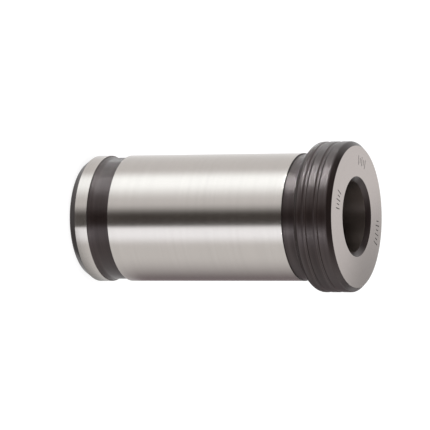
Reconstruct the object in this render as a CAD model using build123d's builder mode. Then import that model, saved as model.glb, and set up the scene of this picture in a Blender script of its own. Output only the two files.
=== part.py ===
from build123d import *
import math
import os

# Taper collet: a reducing sleeve for a milling chuck, turned and ground from one piece of steel.
# It stands on its tail end, with +Z along the axis and the flange at the top. Millimetres.

# Shank, the ground cylinder that the chuck grips
overall_length = 72.0
shank_diameter = 32.0

# Tail end, with a lead-in bevel, a ground guide land and a turned groove
tail_bevel_length = 2.0
tail_bevel_depth = 1.4
tail_land_width = 3.3
tail_groove_width = 5.6
tail_groove_depth = 0.55
tail_groove_corner = 0.2

# Neck behind the flange, turned under the ground shank so that the grinding wheel runs out
neck_width = 3.9
neck_relief = 0.3
neck_corner_radius = 0.3

# Flange, which stops on the nose of the chuck
flange_overhang = 2.8
flange_width = 10.0
back_bevel = 1.1
face_bevel = 1.1
back_blend = 1.9
face_blend = 0.85
ring_groove_width = 1.3
ring_groove_floor = 0.5
ring_groove_depth = 0.2
ring_groove_setback = 3.9
ring_groove_pitch = 3.05
ring_groove_count = 2

# Taper socket of standard size 2, from its gauge plane at the inner edge of the mouth bevel
socket_gauge_diameter = 17.78
socket_taper = 1 / 20.02
mouth_diameter = 20.1
mouth_angle = 45.0
relief_diameter = 15.5
relief_length = 6.0

# Tail wall, with the slot that takes the tool's tang
tail_wall = 10.0
tang_slot_width = 6.5
tang_slot_length = 14.9
slot_bevel = 0.4

# Ground rims are broken to a small bevel
edge_break = 0.2

# Radii and heights worked out from the sizes above
shank_radius = shank_diameter / 2
groove_floor = shank_radius - tail_groove_depth
neck_radius = shank_radius - neck_relief
flange_radius = shank_radius + flange_overhang
shoulder_radius = flange_radius - back_bevel
land_top = tail_bevel_length + tail_land_width
groove_top = land_top + tail_groove_width
flange_bottom = overall_length - flange_width
neck_bottom = flange_bottom - neck_width
back_bevel_top = flange_bottom + back_bevel
face_bevel_bottom = overall_length - face_bevel

gauge_radius = socket_gauge_diameter / 2
mouth_radius = mouth_diameter / 2
mouth_depth = (mouth_radius - gauge_radius) / math.tan(math.radians(mouth_angle))
gauge_height = overall_length - mouth_depth
socket_depth = gauge_height - tail_wall
socket_end_radius = gauge_radius - socket_depth * socket_taper / 2
relief_radius = relief_diameter / 2

ring_floor_radius = flange_radius - ring_groove_depth
first_ring_height = overall_length - ring_groove_setback


def corners(outline, *places):
    """The corners of an outline at these places, each a radius and a height."""
    return [v for v in outline.vertices() if any(math.dist((v.X, v.Y), place) < 0.01 for place in places)]


with BuildPart() as collet_body:
    # Outside, turned as one profile from the tail to the front face
    with BuildSketch(Plane.XZ) as outside:
        with BuildLine():
            Polyline(
                (0, 0),
                (shank_radius - tail_bevel_depth, 0),
                (shank_radius, tail_bevel_length),
                (shank_radius, land_top),
                (groove_floor, land_top),
                (groove_floor, groove_top),
                (shank_radius, groove_top),
                (shank_radius, neck_bottom),
                (neck_radius, neck_bottom),
                (neck_radius, flange_bottom),
                (shoulder_radius, flange_bottom),
                (flange_radius, back_bevel_top),
                (flange_radius, face_bevel_bottom),
                (flange_radius - face_bevel, overall_length),
                (0, overall_length),
                close=True,
            )
        make_face()

        # The flange's bevels run smoothly into its rim
        fillet(corners(outside, (flange_radius, back_bevel_top)), radius=back_blend)
        fillet(corners(outside, (flange_radius, face_bevel_bottom)), radius=face_blend)

        # The neck runs into the flange's back with the tool's nose radius
        fillet(corners(outside, (neck_radius, flange_bottom)), radius=neck_corner_radius)

        # The tail groove's corners are left by a tool with bevelled corners
        groove_corners = corners(outside, (groove_floor, land_top), (groove_floor, groove_top))
        chamfer(groove_corners, length=tail_groove_corner)

        # The ground rims on both sides of the groove are broken
        ground_rims = corners(outside, (shank_radius, land_top), (shank_radius, groove_top))
        chamfer(ground_rims, length=edge_break)

        # Rings around the flange, with slanted sides and a flat floor
        for ring in range(ring_groove_count):
            ring_height = first_ring_height - ring * ring_groove_pitch
            with BuildLine():
                Polyline(
                    (flange_radius, ring_height - ring_groove_width / 2),
                    (ring_floor_radius, ring_height - ring_groove_floor / 2),
                    (ring_floor_radius, ring_height + ring_groove_floor / 2),
                    (flange_radius, ring_height + ring_groove_width / 2),
                    close=True,
                )
            make_face(mode=Mode.SUBTRACT)
    revolve(axis=Axis.Z)

    # Taper socket, with the bevel at its mouth
    with BuildSketch(Plane.XZ):
        with BuildLine():
            Polyline(
                (0, tail_wall),
                (socket_end_radius, tail_wall),
                (gauge_radius, gauge_height),
                (mouth_radius, overall_length),
                (0, overall_length),
                close=True,
            )
        make_face()
    revolve(axis=Axis.Z, mode=Mode.SUBTRACT)

    # Relief at the socket's inner end, where the grinding runs out
    with BuildSketch(Plane.XY.offset(tail_wall)):
        Circle(relief_radius)
    extrude(amount=relief_length, mode=Mode.SUBTRACT)

    # Tang slot through the tail wall, with round ends about the axis
    with BuildSketch(Plane.XY):
        Circle(tang_slot_length / 2)
        Rectangle(tang_slot_length, tang_slot_width, mode=Mode.INTERSECT)
    extrude(amount=tail_wall, mode=Mode.SUBTRACT)
    tail_face = collet_body.faces().filter_by(Axis.Z).sort_by(Axis.Z)[0]
    chamfer(tail_face.inner_wires()[0].edges(), length=slot_bevel)

os.makedirs("parts", exist_ok=True)
collet_body.part.label = "collet_body"
export_step(collet_body.part, "parts/collet_body.step")
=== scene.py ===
"""Taper collet: a reducing sleeve for a milling chuck, turned and ground from one piece of steel.

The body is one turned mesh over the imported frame, with ground and blackened zones. It stands on its tail
end on a pale floor, and the camera looks down at it with its top turned to the right.
"""

import math

import bmesh
import bpy
from mathutils import Matrix, Vector


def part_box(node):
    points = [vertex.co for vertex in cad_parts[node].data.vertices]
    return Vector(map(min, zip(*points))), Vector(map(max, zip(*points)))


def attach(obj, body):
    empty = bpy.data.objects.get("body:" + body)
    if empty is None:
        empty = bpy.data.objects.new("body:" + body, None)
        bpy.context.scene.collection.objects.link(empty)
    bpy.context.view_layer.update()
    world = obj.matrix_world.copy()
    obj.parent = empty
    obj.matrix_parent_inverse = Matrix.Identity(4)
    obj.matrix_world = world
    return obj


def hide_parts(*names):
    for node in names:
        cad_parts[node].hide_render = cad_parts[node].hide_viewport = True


bl_info = {
    "name": "Taper collet",
    "version": (1, 0, 0),
    "blender": (4, 5, 0),
    "location": "View3D > Sidebar > Collet",
    "description": "Turns, grinds and blackens a taper collet and sets its studio stage",
    "category": "Object",
}

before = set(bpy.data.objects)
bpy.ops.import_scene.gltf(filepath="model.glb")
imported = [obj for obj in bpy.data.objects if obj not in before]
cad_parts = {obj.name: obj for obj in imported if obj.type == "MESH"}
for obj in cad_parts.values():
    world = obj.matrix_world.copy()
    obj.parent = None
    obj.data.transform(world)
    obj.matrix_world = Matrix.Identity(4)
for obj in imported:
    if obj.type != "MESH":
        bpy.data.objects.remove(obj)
FRAME_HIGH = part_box("collet_body")[1]
MM = 0.001

# The socket narrows by this share of its length, on the diameter
SOCKET_TAPER = 1 / 20.02

# The body's materials, in the order of its material slots
GROUND_SHANK, GROUND_FACE, GROUND_SOCKET, BLACKENED, SHADED_RECESS, RUBBED_GLINT_RIM, ETCHED = range(7)


def length(name, description, default, low=0.0, high=0.5):
    return bpy.props.FloatProperty(
        name=name,
        description=description,
        default=default,
        min=low,
        max=high,
        precision=5,
        subtype="DISTANCE",
        unit="LENGTH",
    )


def share(name, description, default, high=1.0):
    return bpy.props.FloatProperty(
        name=name,
        description=description,
        default=default,
        min=0.0,
        max=high,
        precision=3,
        subtype="FACTOR",
    )


def angle(name, description, default_degrees):
    return bpy.props.FloatProperty(
        name=name,
        description=description,
        default=math.radians(default_degrees),
        subtype="ANGLE",
        unit="ROTATION",
    )


def colour(name, description, default):
    return bpy.props.FloatVectorProperty(
        name=name,
        description=description,
        default=default,
        size=3,
        min=0.0,
        max=1.0,
        subtype="COLOR",
    )


# Sizes and finishes that a user may change


class ColletSizes(bpy.types.PropertyGroup):
    """Sizes of the turned body."""

    height: length("Height", "From the tail end face to the front face", FRAME_HIGH.z)
    shank: length("Shank radius", "Radius of the ground shank and of the guide land", 16.0 * MM)
    tail_bevel_rise: length("Tail bevel length", "Height of the lead-in bevel at the tail", 2.0 * MM)
    tail_bevel_depth: length("Tail bevel depth", "How far the lead-in bevel cuts in", 1.4 * MM)
    land: length("Land width", "Width of the ground guide land", 3.3 * MM)
    groove: length("Groove width", "Width of the tail groove", 5.6 * MM)
    groove_step: length("Groove step", "How far the groove's floor rises at the land", 0.3 * MM)
    groove_run: length("Groove run", "Length over which that rise runs out", 1.5 * MM)
    groove_depth: length("Groove depth", "Depth of the tail groove", 0.55 * MM)
    groove_corner: length("Groove corner", "Bevel in the corners of the tail groove", 0.2 * MM)
    shank_break: length("Shank rim bevel", "Bevel on the rim between the groove and the shank", 0.18 * MM)
    land_break: length("Land rim bevel", "Bevel on the rim between the land and the groove", 0.06 * MM)
    neck: length("Neck width", "Width of the neck behind the flange", 3.9 * MM)
    neck_relief: length("Neck relief", "How far the neck lies under the ground shank", 0.3 * MM)
    neck_corner: length("Neck corner", "Radius where the neck meets the flange", 0.3 * MM)
    flange: length("Flange radius", "Radius of the flange", FRAME_HIGH.x)
    flange_width: length("Flange width", "Width of the flange", 10.0 * MM)
    flange_bevel: length("Flange bevel", "Bevels at the back and the front of the flange", 1.1 * MM)
    back_blend: length("Back blend", "Radius where the back bevel runs into the rim", 1.9 * MM)
    front_blend: length("Front blend", "Radius where the front bevel runs into the rim", 0.85 * MM)
    ring_width: length("Ring width", "Width of a ring groove at the rim", 1.3 * MM)
    ring_floor: length("Ring floor", "Width of a ring groove at its floor", 0.5 * MM)
    ring_depth: length("Ring depth", "Depth of a ring groove", 0.2 * MM)
    ring_blend: length("Ring blend", "Radius on the front edge of a ring groove", 0.6 * MM)
    ring_setback: length("Ring setback", "From the front face to the middle of the first ring", 3.9 * MM)
    ring_pitch: length("Ring pitch", "From one ring groove to the next", 3.05 * MM)
    gauge: length("Gauge radius", "Radius of the socket at the inner edge of its mouth bevel", 8.89 * MM)
    mouth: length("Mouth radius", "Radius of the mouth bevel at the front face", 10.05 * MM)
    relief: length("Relief radius", "Radius at the inner end of the socket", 7.75 * MM)
    relief_rise: length("Relief length", "Length of the relief at the inner end of the socket", 6.0 * MM)
    tail_wall: length("Tail wall", "Thickness of the wall at the tail", 10.0 * MM)
    slot_end: length("Slot end radius", "Radius of the ends of the tang slot", 7.45 * MM)
    slot_half_width: length("Slot half width", "Half the width of the tang slot", 3.25 * MM)
    slot_bevel: length("Slot bevel", "Bevel around the tang slot on the tail end", 0.4 * MM)
    segments: bpy.props.IntProperty(
        name="Segments", description="Facets around the axis", default=256, min=32, max=512
    )


class ColletFinish(bpy.types.PropertyGroup):
    """Colours and textures of the ground and blackened zones."""

    steel: colour("Ground steel", "Colour of the ground steel", (0.445, 0.414, 0.389))
    face_steel: colour("Face steel", "Colour of the ground front face", (0.447, 0.399, 0.378))
    # The socket's colour is ground steel darkened to paint the shade inside the bore
    shaded_socket_steel: colour("Shaded socket steel", "Colour of the ground taper socket, darkened as painted shade inside the bore", (0.178, 0.144, 0.127))
    black: colour("Blackening", "Colour of the blackened zones", (0.0115, 0.0056, 0.0042))
    # Rubbed rims are wear, and their lighter colour and stronger sheen also paint highlight lines on the
    # sharp edges
    rubbed_glint: colour("Rubbed glint rim", "Colour of blackened rims that handling has rubbed, lightened to paint a highlight line", (0.034, 0.024, 0.022))
    etched: colour("Etched mark", "Colour of the index ticks", (0.05, 0.047, 0.045))
    shank_roughness: share("Shank roughness", "Roughness of the ground shank", 0.21)
    face_roughness: share("Face roughness", "Roughness of the ground front face", 0.22)
    socket_roughness: share("Socket roughness", "Roughness of the ground taper socket", 0.4)
    black_roughness: share("Blackening roughness", "Roughness of the blackened zones", 0.33)
    # The duller blackening on the flange's back bevel and the ring grooves' front walls is painted shade in
    # those recesses
    shaded_recess_roughness: share("Shaded recess roughness", "Roughness of the duller blackening that paints shade into recesses", 0.4)
    rubbed_glint_roughness: share("Rubbed glint rim roughness", "Roughness of the rubbed rims", 0.3)
    etched_roughness: share("Etched roughness", "Roughness of the index ticks", 0.6)
    grinding_pitch: length("Grinding pitch", "Spacing of the grinding lines", 0.22 * MM)
    turning_pitch: length("Turning pitch", "Spacing of the turning lines", 0.16 * MM)
    tick_length: length("Tick length", "Length of a long index tick", 2.4 * MM)
    tick_width: length("Tick width", "Width of an index tick", 0.24 * MM)
    tick_depth: length("Tick depth", "Depth of an index tick", 0.1 * MM)
    short_tick: share("Short tick", "Length of every second tick, as a share of a long one", 0.6)
    tick_step: angle("Tick step", "Turn from one tick to the next", 4.5)


class StudioStage(bpy.types.PropertyGroup):
    """Floor, light and camera."""

    floor_glow: share("Floor glow", "Share of white that the floor keeps in the shade", 0.86)
    room_level: share("Room level", "Brightness of the room that lights the floor", 0.8, high=4.0)
    key_level: share("Key card", "Brightness of the key card", 2.35, high=8.0)
    beam_power: share("Beam power", "Power of a narrow beam at full height, in milliwatts", 0.2, high=10.0)
    beam_spread: angle("Beam spread", "How far the narrow beams open", 1.4)
    fill_level: share("Fill card", "Brightness of the fill card", 1.95, high=8.0)
    dark_level: share("Dark card", "Brightness of the dark card in front", 0.07, high=8.0)
    shade_level: share("Shade card", "Brightness of the grey card behind", 0.25, high=8.0)
    flag_level: share("Flag", "Brightness of the flag that shades the front face", 0.4, high=8.0)
    overhead_level: share("Overhead cards", "Brightness of the two dark cards overhead", 0.03, high=8.0)
    # A dark card on the floor by the foot paints the contact shadow that the metal mirrors
    foot_shadow_level: share("Foot shadow card", "Brightness of the painted contact shadow close to the foot", 0.38, high=8.0)
    camera_lens: bpy.props.FloatProperty(
        name="Lens", description="Focal length in millimetres", default=312.4, min=20.0, max=1000.0
    )
    camera_elevation: angle("Elevation", "Height of the camera above the horizon", 22.98)
    camera_roll: angle("Roll", "Turn of the picture from the collet's axis", -0.394)
    camera_distance: length("Distance", "From the front face to the camera's plane", 927.5 * MM, high=5.0)
    face_right: length("Face right", "Front face's centre, right of the picture's middle", 35.28 * MM)
    face_below: length("Face below", "Front face's centre, under the picture's middle", 0.42 * MM)


# Turned mesh


def rounded(corners, step=math.radians(15), sharp_nose=0.2 * MM):
    """The points of a closed outline, each a radius, a height and the zone of the face after it.

    Each corner is a radius, a height, the nose radius that rounds it and the zone after it. A corner whose
    radius is a function of the angle around the axis stays sharp. A blackened rim with a sharp nose takes
    the rubbed rim finish, whose lighter colour and stronger sheen also paint a highlight line on it.
    """
    points = []
    for i, (radius, height, nose, zone) in enumerate(corners):
        if callable(radius) or not nose:
            points.append((radius, height, zone))
            continue
        before, after = corners[i - 1], corners[(i + 1) % len(corners)]
        here = Vector((radius, height))
        back = Vector((before[0](0.0) if callable(before[0]) else before[0], before[1])) - here
        ahead = Vector((after[0](0.0) if callable(after[0]) else after[0], after[1])) - here
        turn = math.pi - back.angle(ahead)
        reach = nose * math.tan(turn / 2)
        centre = here + (back.normalized() + ahead.normalized()).normalized() * nose / math.cos(turn / 2)
        start, end = here + back.normalized() * reach, here + ahead.normalized() * reach
        convex = back.x * ahead.y - back.y * ahead.x > 0
        # Sharp convex blackened rims take the rubbed finish: wear, with a lighter colour and sheen that
        # paint a highlight line
        rubbed_glint = convex and nose < sharp_nose and {BLACKENED, SHADED_RECESS} & {zone, before[3]}
        count = max(2, math.ceil(turn / step))
        sweep = (end - centre).angle_signed(start - centre)
        for k in range(count + 1):
            spoke = Matrix.Rotation(sweep * k / count, 2) @ (start - centre)
            rim = RUBBED_GLINT_RIM if rubbed_glint and k < count else before[3] if 2 * k < count else zone
            points.append((centre.x + spoke.x, centre.y + spoke.y, rim))
    return points


def collet_outline(sizes):
    """The outline from the tail end face, up the outside, down the socket and out through the slot."""
    top = sizes.height

    # Nose radii, from the bend in the groove's floor to the sharpest rim
    groove_bend, broken, edge, fine, crisp = 2.0 * MM, 0.15 * MM, 0.12 * MM, 0.08 * MM, 0.04 * MM

    land_top = sizes.tail_bevel_rise + sizes.land
    groove_top = land_top + sizes.groove
    floor = sizes.shank - sizes.groove_depth
    flange_back = top - sizes.flange_width
    neck_bottom = flange_back - sizes.neck
    neck = sizes.shank - sizes.neck_relief
    shoulder = sizes.flange - sizes.flange_bevel

    # The mouth bevel stands at 45 degrees
    gauge_height = top - (sizes.mouth - sizes.gauge)
    relief_top = sizes.tail_wall + sizes.relief_rise
    socket_end = sizes.gauge - (gauge_height - relief_top) * SOCKET_TAPER / 2

    def slot(grow):
        """The slot's outline as a function of the angle, grown by this much."""

        def reach(turn):
            side = (sizes.slot_half_width + grow) / max(abs(math.sin(turn)), 1e-6)
            return min(sizes.slot_end + grow, side)

        return reach

    corners = [
        (sizes.shank - sizes.tail_bevel_depth, 0.0, broken, BLACKENED),
        (sizes.shank, sizes.tail_bevel_rise, edge, GROUND_SHANK),
        (sizes.shank, land_top - sizes.land_break, fine, GROUND_SHANK),
        (sizes.shank - sizes.land_break, land_top, fine, BLACKENED),
        (floor + sizes.groove_step, land_top, fine, BLACKENED),
        (floor, land_top + sizes.groove_run, groove_bend, BLACKENED),
        (floor, groove_top - sizes.groove_corner, fine, BLACKENED),
        (floor + sizes.groove_corner, groove_top, fine, BLACKENED),
        (sizes.shank - sizes.shank_break, groove_top, fine, BLACKENED),
        (sizes.shank, groove_top + sizes.shank_break, fine, GROUND_SHANK),
        (sizes.shank, neck_bottom, crisp, BLACKENED),
        (neck, neck_bottom, crisp, BLACKENED),
        (neck, flange_back, sizes.neck_corner, BLACKENED),
        # The back bevel takes the duller blackening, which paints the shade behind the flange
        (shoulder, flange_back, broken, SHADED_RECESS),
        (sizes.flange, flange_back + sizes.flange_bevel, sizes.back_blend, BLACKENED),
    ]
    for ring in (1, 0):
        middle = top - sizes.ring_setback - ring * sizes.ring_pitch
        corners += [
            (sizes.flange, middle - sizes.ring_width / 2, edge, BLACKENED),
            (sizes.flange - sizes.ring_depth, middle - sizes.ring_floor / 2, edge, BLACKENED),
            # The groove's front wall takes the duller blackening, which paints the shade in the groove
            (sizes.flange - sizes.ring_depth, middle + sizes.ring_floor / 2, edge, SHADED_RECESS),
            (sizes.flange, middle + sizes.ring_width / 2, sizes.ring_blend, BLACKENED),
        ]
    corners += [
        (sizes.flange, top - sizes.flange_bevel, sizes.front_blend, BLACKENED),
        (sizes.flange - sizes.flange_bevel, top, broken, GROUND_FACE),
        (sizes.mouth, top, edge, BLACKENED),
        (sizes.gauge, gauge_height, edge, GROUND_SOCKET),
        (socket_end, relief_top, fine, BLACKENED),
        (sizes.relief, relief_top, fine, BLACKENED),
        (sizes.relief, sizes.tail_wall, 0.0, BLACKENED),
        (slot(0.0), sizes.tail_wall, 0.0, BLACKENED),
        (slot(0.0), sizes.slot_bevel, 0.0, BLACKENED),
        (slot(sizes.slot_bevel), 0.0, 0.0, BLACKENED),
    ]
    return rounded(corners)


def turn_mesh(name, outline, segments, slot_corner, crease=math.radians(35)):
    """A mesh turned around the axis from a closed outline, with vertices on the slot's corners."""
    angles = [math.tau * k / segments for k in range(segments)]
    for corner in (slot_corner, math.pi - slot_corner, math.pi + slot_corner, math.tau - slot_corner):
        nearest = min(range(segments), key=lambda k: abs(angles[k] - corner))
        angles[nearest] = corner
    bm = bmesh.new()
    rings = []
    for radius, height, _ in outline:
        rings.append([])
        for turn in angles:
            reach = radius(turn) if callable(radius) else radius
            rings[-1].append(bm.verts.new((reach * math.cos(turn), reach * math.sin(turn), height)))
    for i, (_, _, zone) in enumerate(outline):
        low, high = rings[i], rings[(i + 1) % len(rings)]
        for k in range(segments):
            after = (k + 1) % segments
            face = bm.faces.new((low[k], low[after], high[after], high[k]))
            face.material_index = zone
            face.smooth = True
    bmesh.ops.recalc_face_normals(bm, faces=bm.faces)
    mesh = bpy.data.meshes.new(name)
    bm.to_mesh(mesh)
    bm.free()
    mesh.set_sharp_from_angle(angle=crease)
    return mesh


def keep_modifiers(piece):
    """Makes the piece's modifiers part of its mesh."""
    view = bpy.context.evaluated_depsgraph_get()
    mesh = bpy.data.meshes.new_from_object(piece.evaluated_get(view))
    piece.modifiers.clear()
    piece.data = mesh


# Materials


def join(tree, *links):
    for start, end in links:
        tree.links.new(start, end)


def math_node(tree, operation, first, second=None):
    node = tree.nodes.new("ShaderNodeMath")
    node.operation = operation
    for socket, value in zip(node.inputs, (first, second)):
        if isinstance(value, bpy.types.NodeSocket):
            tree.links.new(value, socket)
        elif value is not None:
            socket.default_value = value
    return node.outputs[0]


def streaks(tree, pitch, reach, detail=3.0, roughness=0.6):
    """Streaks that run around the axis, from 0 to 1, pitch apart across and about reach long."""
    place = tree.nodes.new("ShaderNodeTexCoord").outputs["Object"]
    split = tree.nodes.new("ShaderNodeSeparateXYZ")
    join(tree, (place, split.inputs[0]))
    x, y, z = split.outputs
    squares = [math_node(tree, "MULTIPLY", side, side) for side in (x, y)]
    radius = math_node(tree, "SQRT", math_node(tree, "ADD", *squares))
    spread = tree.nodes.new("ShaderNodeCombineXYZ")
    join(
        tree,
        (math_node(tree, "DIVIDE", radius, pitch), spread.inputs[0]),
        (math_node(tree, "DIVIDE", z, pitch), spread.inputs[1]),
        (math_node(tree, "DIVIDE", x, reach), spread.inputs[2]),
    )
    noise = tree.nodes.new("ShaderNodeTexNoise")
    noise.noise_dimensions = "4D"
    noise.inputs["Scale"].default_value = 1.0
    noise.inputs["Detail"].default_value = detail
    noise.inputs["Roughness"].default_value = roughness
    join(
        tree,
        (spread.outputs[0], noise.inputs["Vector"]),
        (math_node(tree, "DIVIDE", y, reach), noise.inputs["W"]),
    )
    return noise.outputs["Fac"]


def clouds(tree, size):
    """Soft cloudy variation, from 0 to 1, with spots of this size."""
    place = tree.nodes.new("ShaderNodeTexCoord").outputs["Object"]
    noise = tree.nodes.new("ShaderNodeTexNoise")
    noise.inputs["Scale"].default_value = 1.0 / size
    noise.inputs["Detail"].default_value = 0.0
    join(tree, (place, noise.inputs["Vector"]))
    return noise.outputs["Fac"]


def between(tree, value, low, high):
    """The value from 0 to 1 as a number from low to high."""
    node = tree.nodes.new("ShaderNodeMapRange")
    node.inputs["To Min"].default_value = low
    node.inputs["To Max"].default_value = high
    join(tree, (value, node.inputs["Value"]))
    return node.outputs["Result"]


def tinted(tree, value, dark, light):
    """A colour from dark to light as the value goes from 0.3 to 0.7."""
    ramp = tree.nodes.new("ShaderNodeValToRGB")
    for end, position, rgb in zip(ramp.color_ramp.elements, (0.3, 0.7), (dark, light)):
        end.position = position
        end.color = (*rgb, 1.0)
    join(tree, (value, ramp.inputs["Fac"]))
    return ramp.outputs["Color"]


def bumped(tree, height, depth, normal=None):
    node = tree.nodes.new("ShaderNodeBump")
    node.inputs["Strength"].default_value = 1.0
    node.inputs["Distance"].default_value = depth
    join(tree, (height, node.inputs["Height"]))
    if normal:
        join(tree, (normal, node.inputs["Normal"]))
    return node.outputs["Normal"]


def scaled(rgb, factor):
    return tuple(min(1.0, c * factor) for c in rgb)


def lathe_finish(
    name,
    base,
    roughness,
    pitch,
    line_depth,
    wave_depth=0.0,
    spread=0.06,
    mottle=0.05,
    grain=0.0,
    metal=1.0,
    coating=None,
):
    """Steel that was turned or ground around the axis, with fine and broad streaks.

    The roughness varies by spread and the colour by mottle. Grain widens the highlight across the lines.
    Bare steel is metallic, and a coating is given by its refractive index.
    """
    fine_length, broad_length, wave_length = 20 * MM, 30 * MM, 4 * MM
    broad_pitch = 7 * pitch
    fine_share = 0.6
    white, warm = (1.0, 1.0, 1.0, 1.0), (1.0, 0.86, 0.86, 1.0)
    material = bpy.data.materials.new(name)
    material.use_nodes = True
    tree = material.node_tree
    shader = tree.nodes["Principled BSDF"]
    shader.inputs["Metallic"].default_value = 0.0 if coating else metal
    shader.inputs["IOR"].default_value = coating or 1.5
    shader.inputs["Specular Tint"].default_value = warm if coating else white
    shader.inputs["Anisotropic"].default_value = grain
    shader.inputs["Anisotropic Rotation"].default_value = 0.25
    tangent = tree.nodes.new("ShaderNodeTangent")
    tangent.direction_type = "RADIAL"
    tangent.axis = "Z"
    fine = streaks(tree, pitch, fine_length)
    broad = streaks(tree, broad_pitch, broad_length, detail=2.0)
    parts = ((fine, fine_share), (broad, 1 - fine_share))
    both = math_node(tree, "ADD", *[math_node(tree, "MULTIPLY", part, amount) for part, amount in parts])
    normal = bumped(tree, fine, line_depth)
    if wave_depth:
        normal = bumped(tree, clouds(tree, wave_length), wave_depth, normal)
    mottled = tinted(tree, both, scaled(base, 1 - mottle), scaled(base, 1 + mottle))
    join(
        tree,
        (mottled, shader.inputs["Base Color"]),
        (between(tree, both, roughness - spread, roughness + spread), shader.inputs["Roughness"]),
        (tangent.outputs[0], shader.inputs["Tangent"]),
        (normal, shader.inputs["Normal"]),
    )
    if coating:
        # A coating mirrors more in some of the broad streaks than in others
        join(tree, (between(tree, broad, 0.25, 0.75), shader.inputs["Specular IOR Level"]))
    return material


def collet_materials(finish):
    """The body's materials, in the order of its zones."""
    ground_line, socket_line, turned_line, etched_line = 0.0002 * MM, 0.001 * MM, 0.0007 * MM, 0.004 * MM
    grinding_wave = 0.004 * MM
    grinding, turning = finish.grinding_pitch, finish.turning_pitch
    return [
        lathe_finish(
            "ground_shank",
            finish.steel,
            finish.shank_roughness,
            grinding,
            ground_line,
            grinding_wave,
            spread=0.03,
            mottle=0.04,
            grain=0.3,
        ),
        lathe_finish(
            "ground_face",
            finish.face_steel,
            finish.face_roughness,
            grinding,
            ground_line,
            spread=0.03,
            mottle=0.03,
            grain=0.2,
        ),
        # The socket's steel is darkened to paint the shade inside the bore
        lathe_finish(
            "shaded_ground_socket",
            finish.shaded_socket_steel,
            finish.socket_roughness,
            grinding,
            socket_line,
            grain=0.85,
            metal=0.96,
        ),
        lathe_finish(
            "blackened_steel",
            finish.black,
            finish.black_roughness,
            turning,
            turned_line,
            spread=0.025,
            mottle=0.3,
            grain=0.4,
            coating=1.52,
        ),
        # Duller, less shiny blackening that paints the shade on the back bevel and in the ring grooves
        lathe_finish(
            "shaded_recess_black",
            finish.black,
            finish.shaded_recess_roughness,
            turning,
            turned_line,
            mottle=0.3,
            coating=1.25,
        ),
        # Rubbed rims: wear on the sharp blackened edges, lighter and shinier so that they also paint
        # highlight lines
        lathe_finish(
            "rubbed_glint_rim",
            finish.rubbed_glint,
            finish.rubbed_glint_roughness,
            turning,
            turned_line,
            mottle=0.4,
            coating=1.7,
        ),
        lathe_finish(
            "etched_mark",
            finish.etched,
            finish.etched_roughness,
            turning,
            etched_line,
            mottle=0.3,
            coating=1.4,
        ),
    ]


class COLLET_OT_turn_body(bpy.types.Operator):
    """Turn the collet's body and give each zone its finish"""

    bl_idname = "collet.turn_body"
    bl_label = "Turn body"

    def execute(self, context):
        sizes, finish = context.scene.collet_sizes, context.scene.collet_finish
        slot_corner = math.asin(sizes.slot_half_width / sizes.slot_end)
        mesh = turn_mesh("collet", collet_outline(sizes), sizes.segments, slot_corner)
        for material in collet_materials(finish):
            mesh.materials.append(material)
        body = bpy.data.objects.new("collet", mesh)
        context.collection.objects.link(body)
        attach(body, "root")
        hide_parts("collet_body")
        return {"FINISHED"}


class COLLET_OT_etch_ticks(bpy.types.Operator):
    """Cut three groups of plain index ticks into the front face"""

    bl_idname = "collet.etch_ticks"
    bl_label = "Etch index ticks"

    # Each group's turn from +X in degrees, its radius and how many ticks it has
    groups = ((-108, 13.4 * MM, 5), (165, 14.2 * MM, 5), (74, 14.6 * MM, 6))

    def execute(self, context):
        sizes, finish = context.scene.collet_sizes, context.scene.collet_finish
        body = bpy.data.objects["collet"]
        bm = bmesh.new()
        for degrees, middle, count in self.groups:
            for k in range(count):
                turn = math.radians(degrees) + (k - (count - 1) / 2) * finish.tick_step
                reach = finish.tick_length * (1.0 if k % 2 == 0 else finish.short_tick)
                place = Matrix.Rotation(turn, 4, "Z") @ Matrix.Translation((middle, 0, sizes.height))
                shape = Matrix.Diagonal((reach, finish.tick_width, 2 * finish.tick_depth, 1.0))
                bmesh.ops.create_cube(bm, size=1.0, matrix=place @ shape)
        for face in bm.faces:
            face.material_index = ETCHED
        mesh = bpy.data.meshes.new("tick_cutter")
        bm.to_mesh(mesh)
        bm.free()
        for material in body.data.materials:
            mesh.materials.append(material)
        cutter = bpy.data.objects.new("tick_cutter", mesh)
        context.collection.objects.link(cutter)
        cut = body.modifiers.new("ticks", "BOOLEAN")
        cut.object = cutter
        cut.operation = "DIFFERENCE"
        cut.solver = "EXACT"
        keep_modifiers(body)
        bpy.data.objects.remove(cutter)
        soften = body.modifiers.new("even_normals", "WEIGHTED_NORMAL")
        soften.keep_sharp = True
        soften.weight = 100
        return {"FINISHED"}


# Stage


def seen_directly(tree):
    """1 for what the camera, a reflection or a clear thing sees, and 0 for the light on dull surfaces."""
    path = tree.nodes.new("ShaderNodeLightPath")
    seen = math_node(tree, "ADD", path.outputs["Is Camera Ray"], path.outputs["Is Glossy Ray"])
    return math_node(tree, "MINIMUM", math_node(tree, "ADD", seen, path.outputs["Is Transmission Ray"]), 1.0)


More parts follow.
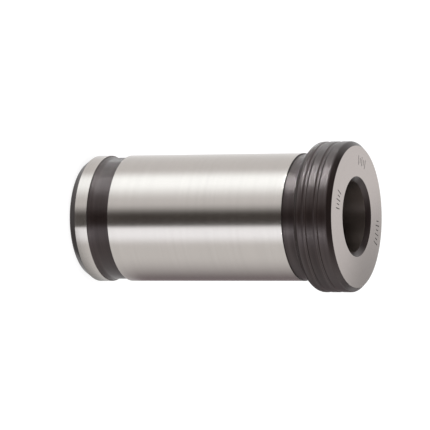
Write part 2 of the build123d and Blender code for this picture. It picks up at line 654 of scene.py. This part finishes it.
def floor_material(stage):
    """A white floor that keeps a soft shadow."""
    material = bpy.data.materials.new("studio_floor")
    material.use_nodes = True
    tree = material.node_tree
    tree.nodes.clear()
    glow, shaded = tree.nodes.new("ShaderNodeEmission"), tree.nodes.new("ShaderNodeBsdfDiffuse")
    plain, both = tree.nodes.new("ShaderNodeBsdfDiffuse"), tree.nodes.new("ShaderNodeAddShader")
    mix, output = tree.nodes.new("ShaderNodeMixShader"), tree.nodes.new("ShaderNodeOutputMaterial")
    glow.inputs["Strength"].default_value = stage.floor_glow
    for shader, grey in ((shaded, 0.3), (plain, 0.8)):
        shader.inputs["Color"].default_value = (grey, grey, grey, 1.0)
    join(
        tree,
        (glow.outputs[0], both.inputs[0]),
        (shaded.outputs[0], both.inputs[1]),
        (seen_directly(tree), mix.inputs[0]),
        (plain.outputs[0], mix.inputs[1]),
        (both.outputs[0], mix.inputs[2]),
        (mix.outputs[0], output.inputs["Surface"]),
    )
    return material


def card_material(name, level, tint):
    """A card of one brightness that fades out at its edges."""
    material = bpy.data.materials.new(name)
    material.use_nodes = True
    tree = material.node_tree
    tree.nodes.clear()
    light, clear = tree.nodes.new("ShaderNodeEmission"), tree.nodes.new("ShaderNodeBsdfTransparent")
    mix, output = tree.nodes.new("ShaderNodeMixShader"), tree.nodes.new("ShaderNodeOutputMaterial")
    cover = tree.nodes.new("ShaderNodeAttribute")
    cover.attribute_name = "cover"
    light.inputs["Strength"].default_value = level
    light.inputs["Color"].default_value = (*tint, 1.0)
    join(
        tree,
        (cover.outputs["Fac"], mix.inputs[0]),
        (clear.outputs[0], mix.inputs[1]),
        (light.outputs[0], mix.inputs[2]),
        (mix.outputs[0], output.inputs["Surface"]),
    )
    return material


def smooth(t):
    t = min(1.0, max(0.0, t))
    return t * t * (3 - 2 * t)


def hang_card(name, level, grid, cover, tint=(1.0, 1.0, 1.0)):
    """A card through a grid of points, seen only in reflections. Cover says how much it hides at each."""
    bm = bmesh.new()
    layer = bm.verts.layers.float.new("cover")
    rows = []
    for points, amounts in zip(grid, cover):
        rows.append([bm.verts.new(point) for point in points])
        for vert, amount in zip(rows[-1], amounts):
            vert[layer] = amount
    for low, high in zip(rows, rows[1:]):
        for k in range(len(low) - 1):
            bm.faces.new((low[k], low[k + 1], high[k + 1], high[k]))
    mesh = bpy.data.meshes.new(name)
    bm.to_mesh(mesh)
    bm.free()
    mesh.materials.append(card_material(name, level, tint))
    card = bpy.data.objects.new(name, mesh)
    bpy.context.collection.objects.link(card)
    card.visible_camera = card.visible_diffuse = card.visible_shadow = False
    card.visible_transmission = card.visible_volume_scatter = False


def toward(bearing):
    """The level direction at a bearing in degrees, from the front (-Y) towards -X."""
    return Vector((-math.sin(math.radians(bearing)), -math.cos(math.radians(bearing)), 0.0))


def swept_card(name, level, tint, edges, foot, path, ends, count=48):
    """A card around the collet, swept along a path of distances from the shank and heights.

    The edges are four bearings: where the card starts, where it is full, where it stops being full and
    where it ends. Its sides follow the light that the shank throws at one bearing, so the band that it makes
    on the shank runs straight along it. Ends says how much it covers at each point of the path.
    """
    start, full, fade, end = edges
    bearings = [start + (end - start) * k / count for k in range(count + 1)]
    sides = [smooth((b - start) / (full - start)) * smooth((end - b) / (end - fade)) for b in bearings]
    grid = []
    for reach, rise in path:
        grid.append([toward(b / 2) * foot + toward(b) * reach + Vector((0, 0, rise)) for b in bearings])
    hang_card(name, level, grid, [[side * amount for side in sides] for amount in ends], tint)


def floor_path(rise, near=1.0, far=0.6, bend=0.12):
    """A path along the floor that bends up at its far end, and how much a card covers at each point of it.

    Near says how much it covers beside the collet's foot, before it is full. It fades out at the top.
    """
    lift, near_end, full_run, top_fade = 0.2 * MM, 12 * MM, 22 * MM, 0.3 * rise
    turns = [math.pi / 16 * k for k in range(1, 9)]
    path = [((far - bend) * (k / 16) ** 2, lift) for k in range(17)]
    path += [(far - bend * (1 - math.sin(turn)), lift + bend * (1 - math.cos(turn))) for turn in turns]
    path += [(far, bend + (rise - bend) * k / 8) for k in range(1, 9)]
    full = [near + (1 - near) * smooth((reach - near_end) / full_run) for reach, _ in path]
    return path, [cover * smooth((rise - height) / top_fade) for cover, (_, height) in zip(full, path)]


def floor_card(name, level, middle, inner, fade, oval, rings=16, count=48):
    """A card on the floor that is full out to an inner radius and fades out past it.

    Oval is its width along X as a share of its depth.
    """
    steps = [k / rings for k in range(rings + 1)]
    spokes = [toward(360 / count * k) * Vector((oval, 1.0, 0.0)) for k in range(count + 1)]
    grid = [[Vector(middle) + spoke * (inner + fade * out) for spoke in spokes] for out in steps]
    hang_card(name, level, grid, [[1 - smooth(out)] * (count + 1) for out in steps])


def flat_card(name, level, corner, across, up, soft, count=24):
    """A flat card from a corner, with soft sides at the start and end of its two directions."""
    steps = [k / count for k in range(count + 1)]
    grid = [[Vector(corner) + Vector(across) * a + Vector(up) * b for a in steps] for b in steps]
    sides = [smooth(a / soft[0]) * smooth((1 - a) / soft[1]) for a in steps]
    ends = [smooth(b / soft[2]) * smooth((1 - b) / soft[3]) for b in steps]
    hang_card(name, level, grid, [[side * amount for side in sides] for amount in ends])


def hang_beams(name, stage, parts, wall, low, high, distance, tilt=0.0):
    """Narrow beams, as from lamps with grids, that the wall throws at the camera between two heights.

    Parts gives the bearing of each lamp and its part of the beam power. Tilt is how far the wall leans back,
    in degrees.
    """
    width, full_height, tint = 26 * MM, 13.3 * MM, (0.94, 1.0, 1.0)
    dip = stage.camera_elevation - math.radians(2 * tilt)
    middle = Vector((0, 0, (low + high) / 2))
    for bearing, part in parts.items():
        back = toward(bearing) * math.cos(dip) - Vector((0, 0, math.sin(dip)))
        side = toward(bearing + 90)
        lamp = bpy.data.lights.new(name, "AREA")
        lamp.shape = "RECTANGLE"
        lamp.size, lamp.size_y = width, (high - low) * math.cos(dip)
        lamp.spread = stage.beam_spread
        lamp.energy = part * stage.beam_power / 1000 * (high - low) / full_height
        lamp.color = tint
        holder = bpy.data.objects.new(name, lamp)
        place = toward(bearing / 2) * wall + middle + back * distance
        turned = Matrix((side, back.cross(side), back)).transposed().to_4x4()
        holder.matrix_world = Matrix.Translation(place) @ turned
        holder.visible_camera = False
        bpy.context.collection.objects.link(holder)


def light_room(scene, stage):
    """A room that is white where it is seen, and that lights the floor at the room's level."""
    world = bpy.data.worlds.new("studio_room")
    scene.world = world
    world.use_nodes = True
    tree = world.node_tree
    tree.nodes.clear()
    white, room = tree.nodes.new("ShaderNodeBackground"), tree.nodes.new("ShaderNodeBackground")
    mix, output = tree.nodes.new("ShaderNodeMixShader"), tree.nodes.new("ShaderNodeOutputWorld")
    for light, strength in ((white, 1.0), (room, stage.room_level)):
        light.inputs["Color"].default_value = (1.0, 1.0, 1.0, 1.0)
        light.inputs["Strength"].default_value = strength
    join(
        tree,
        (seen_directly(tree), mix.inputs[0]),
        (room.outputs[0], mix.inputs[1]),
        (white.outputs[0], mix.inputs[2]),
        (mix.outputs[0], output.inputs["Surface"]),
    )


def lay_floor(stage, reach=4.0, gap=0.01 * MM):
    """The floor, a hair under the tail end so that the two faces don't flicker."""
    bm = bmesh.new()
    bmesh.ops.create_grid(bm, x_segments=1, y_segments=1, size=reach)
    mesh = bpy.data.meshes.new("floor")
    bm.to_mesh(mesh)
    bm.free()
    mesh.materials.append(floor_material(stage))
    floor = bpy.data.objects.new("floor", mesh)
    floor.location.z = -gap
    bpy.context.collection.objects.link(floor)


def hang_cards(stage, foot):
    """The cards that the ground and blackened zones mirror. Bearings are in degrees and places in metres."""
    warm, cool = (1.12, 0.97, 0.87), (0.96, 0.995, 1.05)
    even, rosy = (0.945, 1.0, 1.025), (1.08, 0.925, 0.965)
    low_path = floor_path(0.09, near=0.0, far=0.4, bend=0.06)
    swept_card("dark_card", stage.dark_level, warm, (-16.5, -15, 5, 27), foot, *floor_path(0.25, near=0.92))
    swept_card("fill_card", stage.fill_level, cool, (-52, -31, -19, -14.5), foot, *floor_path(0.5, near=0.8))
    swept_card("key_card", stage.key_level, even, (32, 66, 74, 98), foot, *floor_path(0.3, near=0.8))
    swept_card("shade_card", stage.shade_level, rosy, (-178, -160, -148, -73), foot, *low_path)
    # Painted contact shadow: a dark card by the foot that only reflections see
    floor_card(
        "foot_shadow_card",
        stage.foot_shadow_level,
        middle=(5.1 * MM, 0, 0.4 * MM),
        inner=13 * MM,
        fade=10 * MM,
        oval=0.88,
    )
    flat_card(
        "overhead_card",
        stage.overhead_level,
        corner=(-0.85, -0.85, 0.45),
        across=(1.4, 0, 0),
        up=(0, 0.95, 0),
        soft=(0.15, 0.35, 0.2, 0.2),
    )
    flat_card(
        "side_card",
        stage.overhead_level,
        corner=(-0.85, -0.2, 0.45),
        across=(0.7, 0, 0),
        up=(0, 0.65, 0),
        soft=(0.2, 0.3, 0.2, 0.3),
    )
    flat_card(
        "shade_flag",
        stage.flag_level,
        corner=(-13.5 * MM, 50 * MM, 83 * MM),
        across=(90 * MM, 0, 0),
        up=(97 * MM, 0, 42 * MM),
        soft=(0.08, 0.2, 0.03, 0.1),
    )


def hang_lamps(stage, sizes):
    """Narrow beams for the highlights on the neck, the flange and the tail groove."""
    far, near, close = 45 * MM, 20 * MM, 13 * MM
    wall, top = sizes.shank, sizes.height + 0.5 * MM
    flange_back = sizes.height - sizes.flange_width
    neck = flange_back - sizes.neck
    groove = sizes.tail_bevel_rise + sizes.land
    groove_top = groove + sizes.groove
    parts = {-27: 0.2, 56: 0.65, 67: 1.05, 79: 0.54}
    hang_beams("flange_beam", stage, parts, wall, neck + 0.1 * MM, top, far)
    parts = {98: 0.1, 118: 0.1}
    hang_beams("side_beam", stage, parts, wall, neck + 0.6 * MM, top, far)
    parts = {140: 0.11}
    hang_beams("side_beam", stage, parts, wall, neck + 0.6 * MM, top - 5 * MM, far)
    parts = {50: 0.12, 67: 0.1, 80: 0.2}
    hang_beams("rim_beam", stage, parts, wall, flange_back + 2.7 * MM, top, far)
    parts = {56: 0.24, 67: 0.21, 79: 0.31, 98: 0.17, 118: 0.1, 140: 0.07}
    hang_beams("groove_beam", stage, parts, wall, groove + 0.3 * MM, groove_top - 0.5 * MM, close)
    parts = {-27: 0.1, 56: 0.16, 67: 0.45, 79: 0.35, 98: 0.28, 118: 0.22}
    hang_beams("slope_beam", stage, parts, wall, groove + 0.2 * MM, groove + 1.6 * MM, near, tilt=11)


def add_camera(scene, stage):
    """The camera looks down at the collet, with the collet's axis along the picture's width."""
    up_tilt, roll = stage.camera_elevation, stage.camera_roll
    along = Vector((0, math.sin(up_tilt), math.cos(up_tilt)))
    across = Vector((-1, 0, 0))
    back = Vector((0, -math.cos(up_tilt), math.sin(up_tilt)))
    right = along * math.cos(roll) + across * math.sin(roll)
    up = across * math.cos(roll) - along * math.sin(roll)
    front_face = Vector((0, 0, FRAME_HIGH.z))
    place = front_face - right * stage.face_right + up * stage.face_below + back * stage.camera_distance
    lens = bpy.data.cameras.new("camera")
    lens.lens = stage.camera_lens
    lens.sensor_width = 36.0
    lens.clip_start, lens.clip_end = 0.05, 50.0
    camera = bpy.data.objects.new("camera", lens)
    camera.matrix_world = Matrix.Translation(place) @ Matrix((right, up, back)).transposed().to_4x4()
    bpy.context.collection.objects.link(camera)
    scene.camera = camera


class COLLET_OT_set_stage(bpy.types.Operator):
    """Lay the pale floor and set the room light, the cards, the narrow beams and the camera"""

    bl_idname = "collet.set_stage"
    bl_label = "Set stage"

    def execute(self, context):
        scene, stage, sizes = context.scene, context.scene.collet_stage, context.scene.collet_sizes
        scene.view_settings.view_transform = "Standard"
        light_room(scene, stage)
        lay_floor(stage)
        hang_cards(stage, sizes.shank)
        hang_lamps(stage, sizes)
        add_camera(scene, stage)
        return {"FINISHED"}


# Add-on

GROUPS = {"collet_sizes": ColletSizes, "collet_finish": ColletFinish, "collet_stage": StudioStage}
OPERATORS = (COLLET_OT_turn_body, COLLET_OT_etch_ticks, COLLET_OT_set_stage)


class COLLET_PT_sidebar(bpy.types.Panel):
    """Collet's steps and settings"""

    bl_label = "Taper collet"
    bl_idname = "COLLET_PT_sidebar"
    bl_space_type = "VIEW_3D"
    bl_region_type = "UI"
    bl_category = "Collet"

    def draw(self, context):
        layout = self.layout
        for operator in OPERATORS:
            layout.operator(operator.bl_idname)
        for name in GROUPS:
            group = getattr(context.scene, name)
            box = layout.box()
            for setting in group.__annotations__:
                box.prop(group, setting)


CLASSES = (*GROUPS.values(), *OPERATORS, COLLET_PT_sidebar)


def register():
    for cls in CLASSES:
        bpy.utils.register_class(cls)
    for name, group in GROUPS.items():
        setattr(bpy.types.Scene, name, bpy.props.PointerProperty(type=group))


def unregister():
    for name in GROUPS:
        delattr(bpy.types.Scene, name)
    for cls in reversed(CLASSES):
        bpy.utils.unregister_class(cls)


def main():
    """Builds the collet and its stage."""
    register()
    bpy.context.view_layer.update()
    bpy.ops.collet.turn_body()
    bpy.ops.collet.etch_ticks()
    bpy.ops.collet.set_stage()


if __name__ == "__main__":
    main()
